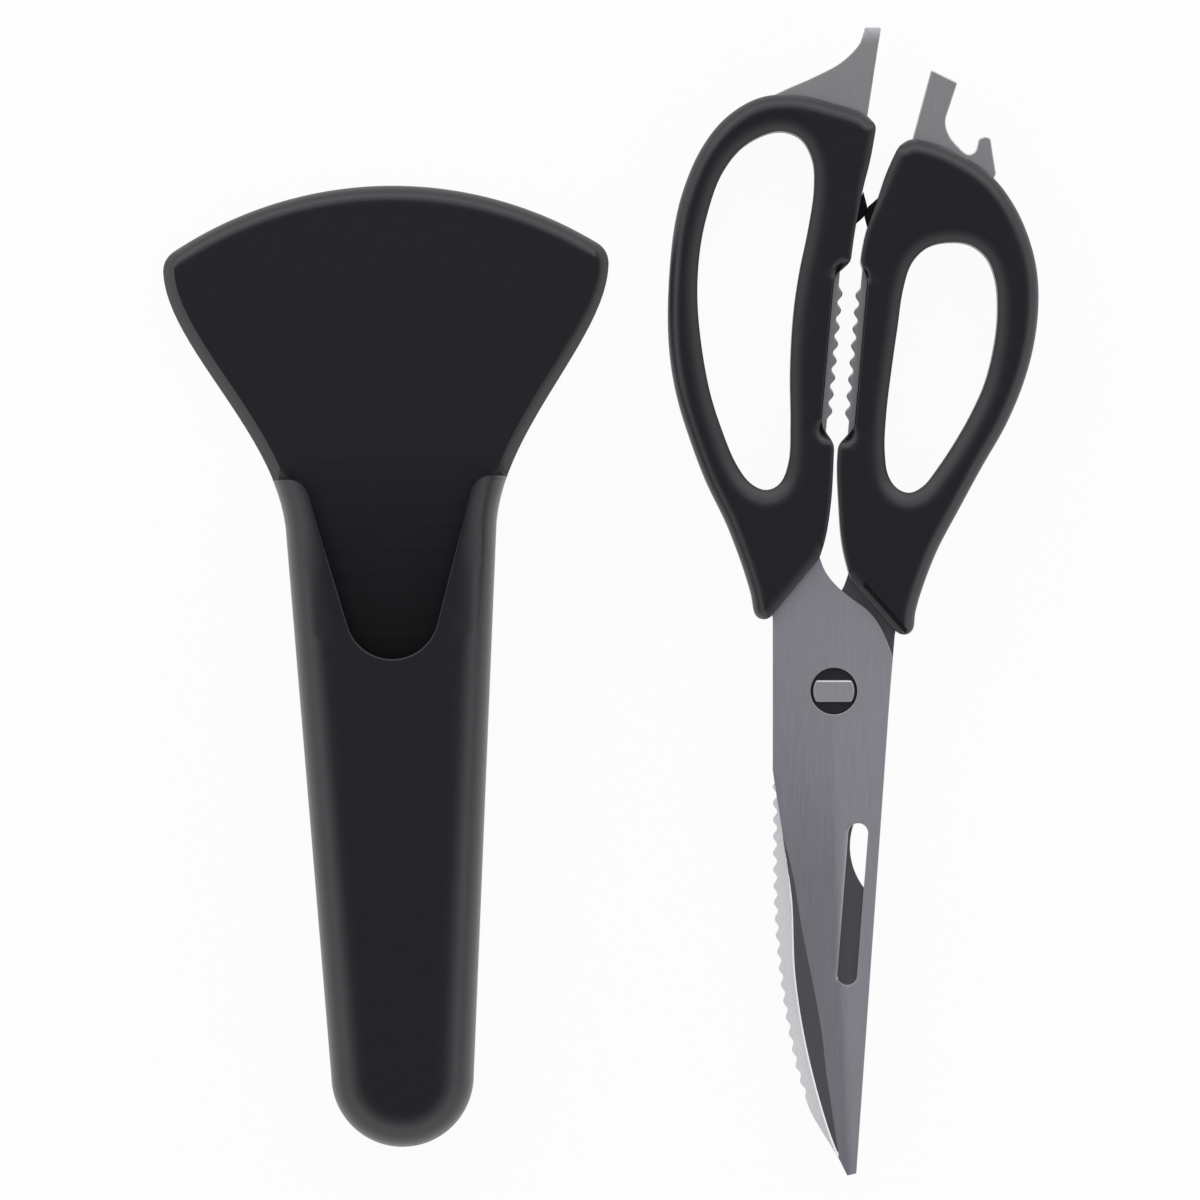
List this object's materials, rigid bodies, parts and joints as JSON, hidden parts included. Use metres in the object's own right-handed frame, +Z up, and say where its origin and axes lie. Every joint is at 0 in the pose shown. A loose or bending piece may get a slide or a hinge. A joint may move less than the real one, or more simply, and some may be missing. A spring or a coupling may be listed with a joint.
{
  "type": "multi-purpose scissors",
  "caption": "Take-apart kitchen scissors with looped plastic handles, nutcracker jaws, pry tip, cap lifter and scaler, lying beside their fan-topped magnetic holder.",
  "frame": {"origin": "on the surface the set lies on, under the middle of the whole set", "axes": "+Y from the blade tips towards the handles, +X to the right seen from the front, +Z up out of the front faces"},
  "size_m": [0.1906, 0.2498, 0.017],
  "materials": {
    "front_steel": "satin",
    "rear_steel": "satin",
    "tool_steel": "satin",
    "pivot_steel": "satin",
    "handle_plastic": "matt",
    "bumper_rubber": "matt",
    "holder_plastic": "matt",
    "magnet": "dull"
  },
  "bodies": {
    "front_half": {"front_blade": "front_steel", "finger_handle_front_shell": "handle_plastic", "finger_handle_rear_shell": "handle_plastic", "finger_jaw": "tool_steel", "finger_bumper": "bumper_rubber", "pry_tip": "tool_steel"},
    "rear_half": {"rear_blade": "rear_steel", "thumb_handle_front_shell": "handle_plastic", "thumb_handle_rear_shell": "handle_plastic", "thumb_jaw": "tool_steel", "thumb_bumper": "bumper_rubber", "cap_lifter": "tool_steel", "pivot_stud": "pivot_steel", "pivot_washer": "pivot_steel"},
    "holder": {"holder_back_plate": "holder_plastic", "holder_front_cover": "holder_plastic", "holder_rear_cover": "holder_plastic", "upper_left_magnet": "magnet", "upper_right_magnet": "magnet", "lower_magnet": "magnet"}
  },
  "joints": [
    {"name": "pivot", "type": "hinge", "parent": "front_half", "child": "rear_half", "pos_m": [0.05083, -0.0195, 0.007], "axis": [0, 0, -1], "range_deg": [0, 45]},
    {"name": "holder_slide", "type": "slide", "parent": "front_half", "child": "holder", "axis": [-0.9998, -0.0209, 0], "range_m": [0, 0.15]}
  ]
}
